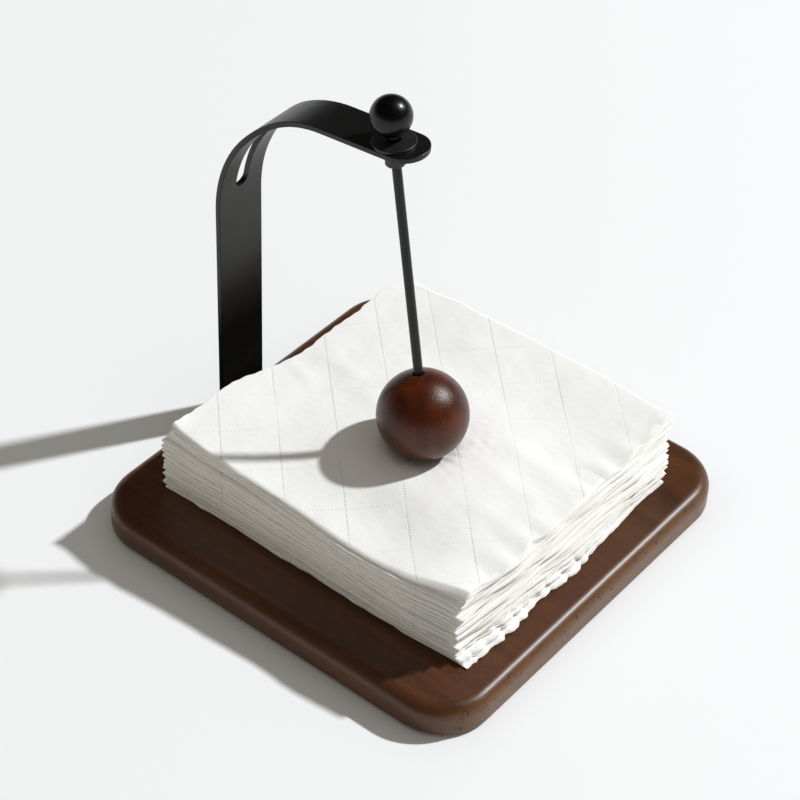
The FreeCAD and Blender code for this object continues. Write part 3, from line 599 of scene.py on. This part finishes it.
class Napkin:
    """One napkin as a grid of points: a sheet folded across, then along.

    number is 1 at the bottom of the stack, and depth is 0 at its top and nearly 1 at its bottom.
    x and y are measured from the middle of the folded napkin, and share is the height in its
    thickness, -1 to 1. upper is 1 in the upper half, and outer is 1 in the outer leaf of each
    half. open_x, open_y, fold_x and fold_y rise to 1 at the sides at +X, +Y, -X and -Y, and
    half_x and half_y rise to 1 across the whole napkin, towards -X and -Y."""

    def __init__(self, number):
        self.number = number
        self.top = number == COUNT
        self.depth = (COUNT - number) / COUNT
        there_x, back_x, there_y, back_y = grid_steps(number)
        half_pitch = LEAF_PITCH / 2
        place_x, turn_x = fold_track(LENGTH, half_pitch + PAPER / 2, there_x, back_x)
        place_y, turn_y = fold_track(WIDTH, 3 * half_pitch + PAPER / 2, there_y, back_y)
        place_x, turn_x = place_x[:, None], turn_x[:, None]
        place_y, turn_y = place_y[None, :], turn_y[None, :]
        first_fold = -half_pitch * np.cos(turn_x)
        x = (place_x - half_pitch * np.sin(turn_x)) * np.ones_like(place_y)
        y = place_y + (first_fold - LEAF_PITCH) * np.sin(turn_y)
        self.x, self.y = x, y
        self.share = (first_fold - LEAF_PITCH) * np.cos(turn_y) / (3 * half_pitch)
        self.upper = smooth(turn_y, 0, math.pi)
        self.outer = smooth(turn_x, math.pi, 0)
        self.open_x = smooth(x, LENGTH / 2 - SIDE_REACH, LENGTH / 2)
        self.open_y = smooth(y, WIDTH / 2 - SIDE_REACH, WIDTH / 2)
        self.fold_x = smooth(-x, LENGTH / 2 - SIDE_REACH, LENGTH / 2)
        self.fold_y = smooth(-y, WIDTH / 2 - SIDE_REACH, WIDTH / 2)
        self.half_x = np.clip(0.5 - x / LENGTH, 0, 1)
        self.half_y = np.clip(0.5 - y / WIDTH, 0, 1)

    def fray(self):
        """The four leaves end unevenly on the open sides, most of all low in the stack."""
        frayed = FRAY + FRAY_BELOW * self.depth ** 2
        moves = []
        for weight, spot in ((self.open_x, self.y), (self.open_y, self.x)):
            move = weight * (wave((90, 50, 30), 0.9)(spot) + rng.uniform(-0.7, 0.7))
            for half in (1 - self.upper, self.upper):
                for quarter in (1 - self.outer, self.outer):
                    uneven = wave((60, 34), 0.3)(spot) + wave((9, 6, 4.5), frayed)(spot)
                    uneven = uneven + rng.uniform(-0.25, 0.1)
                    move = move + weight ** 3 * half * quarter * uneven
            moves.append(move)
        self.x = self.x + moves[0]
        self.y = self.y + moves[1]

    def shape_sides(self):
        """Lacy ends below, a front corner that recedes, and folds that wander."""
        x, y, depth = self.x, self.y, self.depth
        pressed_out = max(0.0, 1 - ((self.number - 1) / PRESSED_OUT) ** 2) * smooth(-y, -40, 0)
        scalloped = LACE_OUT + LACE_SWING * lace(y + 0.7 * self.number)
        x = x + self.open_x ** 4 * (pressed_out * scalloped
                                    + END_DRIFT * drift(y + 3 * self.number))
        receding = RECEDES + (RECEDES_BELOW * depth if self.number > 2 else 0.0)
        x = x - self.open_x * receding * smooth(-y, 38, 72)
        y = y + self.fold_y * (wave((120, 70, 45), 0.6)(x)
                               + wave((23, 15, 10), 0.15 + 0.25 * depth)(x)
                               + rng.uniform(-0.6, 0.6))
        x = x + self.fold_x * (wave((110, 60, 35), 0.8)(y)
                               + self.top * wave((16, 9, 6), 0.45)(y))
        self.x, self.y = x, y

    def draw_in(self):
        """The end at -X is drawn in, most of all for the upper napkins.

        The side at -Y leans out, and the uppermost napkins reach further back at +Y."""
        x, y, depth = self.x, self.y, self.depth
        near, far = smooth(-y, -4, 32), smooth(y, -32, 4)
        x = x + self.half_x * ((DRAWN_NEAR - LESS_NEAR * min(1, 4 * depth)) * near
                               + (DRAWN_FAR - LESS_FAR * min(1, 2 * depth)) * far)
        leaning = LEAN + LEAN_ABOVE * (1 - depth)
        leaning = leaning * (1 - 0.85 * smooth(x, 46, 82))
        leaning = leaning * (1 - 0.6 * (1 - depth) * smooth(-x, 56, 80))
        y = y - self.half_y * leaning + (1 - self.half_y) * REACH_BACK * (1 - min(1, 5 * depth))
        if self.top:
            fold_out = FOLD_OUT + FOLD_OUT_FRONT * smooth(x, 30, 80)
            y = y + self.fold_y * fold_out * (0.65 + 0.35 * self.share)
            x = x - self.open_x * NOTCH_DEPTH * hump(y - NOTCH_Y, SMALL_REACH)
        self.x, self.y = x, y

    def placed(self):
        """Points of the napkin where it lies in the stack."""
        along, across, turned = (phase * self.number for phase in SHUFFLE_PHASES)
        turn = TWIST * math.sin(turned + FIRST_TURN_PHASE)
        x = (STACK_MIDDLE[0] + SHUFFLE * math.sin(along)
             + self.x * math.cos(turn) - self.y * math.sin(turn))
        y = (STACK_MIDDLE[1] + SHUFFLE * math.cos(across)
             + self.x * math.sin(turn) + self.y * math.cos(turn))
        return np.stack([x, y, self.heights(x, y)], axis=-1)

    def heights(self, x, y):
        """Heights of the leaves, thinner towards the sides, where air gets between napkins."""
        borders = napkin_levels(x, y)
        bottom, ceiling = borders[self.number - 1], borders[self.number]
        side = np.maximum.reduce([self.open_x, self.open_y, self.fold_x, self.fold_y])
        air = (0.3 + 0.42 * self.open_x) * side
        air = air * (0.55 + 0.45 * air_waves[self.number - 1](x, y))
        room = (ceiling - bottom) * (0.86 - air)
        z = (bottom + ceiling) / 2 + self.share * room / 2
        flutter = wave((33, 21), 0.10)(y) * self.open_x + wave((33, 21), 0.10)(x) * self.open_y
        z = z + flutter * (1 - np.abs(self.share))
        dent_painted_shade = self.open_x ** 2 * max(0.0, 1 - self.number / EMBOSSED_COUNT)
        z = z + EMBOSS_DEPTH * dent_painted_shade * embossed(x, y) * smooth(self.share, 0, 0.9)
        if self.top:
            z = z + CORNER_RISE * hump(np.hypot(x - CORNER_X, y - CORNER_Y), CORNER_REACH)
            curled = CURL_RISE * curls(y) + LIFT_RISE * hump(y - LIFT_Y, SMALL_REACH)
            curled = self.open_x ** 3 * curled
            z = z + smooth(self.share, 0.5, 0.95) * (top_relief(x, y) + curled)
        return z


def fold_napkin(number):
    """Grid of points of one napkin."""
    napkin = Napkin(number)
    napkin.fray()
    napkin.shape_sides()
    napkin.draw_in()
    return napkin.placed()


NO_LENGTH = 1e-12  # a normal shorter than this has no direction


def sheet_object(name, points, material):
    """Closed mesh of the paper's thickness round a grid of points in mm."""
    rows, columns, _ = points.shape
    points = points * MM
    normal = np.cross(np.gradient(points, axis=0), np.gradient(points, axis=1))
    normal /= np.maximum(np.linalg.norm(normal, axis=-1, keepdims=True), NO_LENGTH)
    half = PAPER / 2 * MM
    both = np.concatenate([(points + normal * half).reshape(-1, 3),
                           (points - normal * half).reshape(-1, 3)])
    index = np.arange(rows * columns).reshape(rows, columns)
    cells = [index[:-1, :-1], index[1:, :-1], index[1:, 1:], index[:-1, 1:]]
    front = np.stack(cells, axis=-1).reshape(-1, 4)
    behind = front[:, ::-1] + rows * columns
    rim = np.concatenate([index[:, 0], index[-1, 1:], index[-2::-1, -1], index[0, -2:0:-1]])
    following = np.roll(rim, -1)
    wall = np.stack([rim, rim + rows * columns, following + rows * columns, following], axis=-1)
    faces = np.concatenate([front, behind, wall])
    mesh = bpy.data.meshes.new(name)
    mesh.vertices.add(len(both))
    mesh.vertices.foreach_set("co", both.astype(np.float32).ravel())
    mesh.loops.add(faces.size)
    mesh.loops.foreach_set("vertex_index", faces.astype(np.int32).ravel())
    mesh.polygons.add(len(faces))
    mesh.polygons.foreach_set("loop_start", np.arange(0, faces.size, 4, dtype=np.int32))
    mesh.polygons.foreach_set("use_smooth", np.ones(len(faces), dtype=bool))
    mesh.update(calc_edges=True)
    mesh.validate()
    mesh.materials.append(material)
    piece = bpy.data.objects.new(name, mesh)
    bpy.context.scene.collection.objects.link(piece)
    return piece


def make_napkins():
    paper = paper_finish("white_paper")
    for number in range(1, COUNT + 1):
        node = "top_napkin" if number == COUNT else f"napkin_{number:02d}"
        piece = sheet_object(f"{node}_sheet", fold_napkin(number), paper)
        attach(piece, "top_sheet" if number == COUNT else "napkin_stack")
        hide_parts(node)


# Floor, in metres: its front edge lies just outside the picture, and behind it runs on

FLOOR_FRONT, FLOOR_BACK, FLOOR_HALF_WIDTH = 0.29, 5.0, 5.0
FLOOR_TONES = linear(241, 243, 244), linear(243, 245, 246)
# Painted light: the floor is painted brighter towards the right of the picture, across the span
# below.
FLOOR_RIGHT_PAINTED_LIGHT = linear(249, 251, 254)
FLOOR_PAINTED_LIGHT_SPAN = (-0.15, 0.2)  # from the left of the middle to the right of it


def make_floor():
    """Pale table top, with painted light that makes it a little brighter towards the right of the
    picture.
    """
    front, side = direction(CAMERA_AZIMUTH, 0), direction(CAMERA_AZIMUTH + 90, 0)
    corners = [front * depth + side * width for depth, width in
               ((FLOOR_FRONT, -FLOOR_HALF_WIDTH), (FLOOR_FRONT, FLOOR_HALF_WIDTH),
                (-FLOOR_BACK, FLOOR_HALF_WIDTH), (-FLOOR_BACK, -FLOOR_HALF_WIDTH))]
    mesh = bpy.data.meshes.new("floor")
    mesh.from_pydata(corners, [], [(0, 1, 2, 3)])
    finish = Finish("pale_floor", Roughness=0.9, Specular_IOR_Level=0.1)
    x, y, _ = finish.parts(finish.place)
    to_side = finish.math("MULTIPLY", x, side.x)
    to_side = finish.math("MULTIPLY_ADD", y, side.y, to_side)
    pale = finish.mixed(finish.noise(3.0, detail=2), *FLOOR_TONES)
    # Painted light towards the right of the picture.
    painted_light = finish.spread(to_side, *FLOOR_PAINTED_LIGHT_SPAN)
    finish.attach("Base Color", finish.mixed(painted_light, pale, FLOOR_RIGHT_PAINTED_LIGHT))
    mesh.materials.append(finish.material)
    floor = bpy.data.objects.new("floor", mesh)
    bpy.context.scene.collection.objects.link(floor)


# Light: one sun, and a warm fill from all round

KEY_AZIMUTH, KEY_ELEVATION = 148.0, 45.2
KEY_STRENGTH = 3.14
KEY_ANGLE = 2.6  # degrees across, for the softness of the shadows
KEY_DISTANCE = 2.0  # m
KEY_COLOUR = (0.985, 1.0, 1.015)
FILL_STRENGTH = 0.295
FILL_COLOUR = (1.0, 0.95, 0.85)

# Pale walls as the eye and polished surfaces see them, and the dim ceiling that these mirror
# above the wall's rise, given as the height of the direction's unit vector
BACKDROP = (0.91, 0.92, 0.93)
CEILING = (0.025, 0.025, 0.025)
WALL_RISE = (0.0, 0.11)


def make_lamp():
    data = bpy.data.lights.new("key_light", "SUN")
    data.energy = KEY_STRENGTH
    data.color = KEY_COLOUR
    data.angle = math.radians(KEY_ANGLE)
    lamp = bpy.data.objects.new("key_light", data)
    towards = direction(KEY_AZIMUTH, KEY_ELEVATION)
    lamp.rotation_euler = towards.to_track_quat("Z", "Y").to_euler()
    lamp.location = towards * KEY_DISTANCE
    bpy.context.scene.collection.objects.link(lamp)


def make_world():
    """Warm fill for the object; camera and polished surfaces see the pale surroundings."""
    world = bpy.data.worlds.new("studio")
    world.use_nodes = True
    nodes = Nodes(world.node_tree)
    rays = nodes.add("ShaderNodeLightPath").outputs
    heading = nodes.add("ShaderNodeTexCoord").outputs["Generated"]
    rise = nodes.spread(nodes.parts(heading)[2], *WALL_RISE, kind="LINEAR")
    fill = tuple(FILL_STRENGTH * part for part in FILL_COLOUR)
    mirrored = nodes.mixed(rise, BACKDROP, CEILING)
    shade = nodes.mixed(rays["Is Glossy Ray"], fill, mirrored)
    seen = nodes.math("MAXIMUM", rays["Is Camera Ray"], rays["Is Transmission Ray"])
    shade = nodes.mixed(seen, shade, BACKDROP)
    nodes.feed(world.node_tree.nodes["Background"].inputs["Color"], shade)
    bpy.context.scene.world = world
    bpy.context.scene.view_settings.view_transform = "Standard"


place_camera()
dress_solids()
make_napkins()
make_floor()
make_lamp()
make_world()
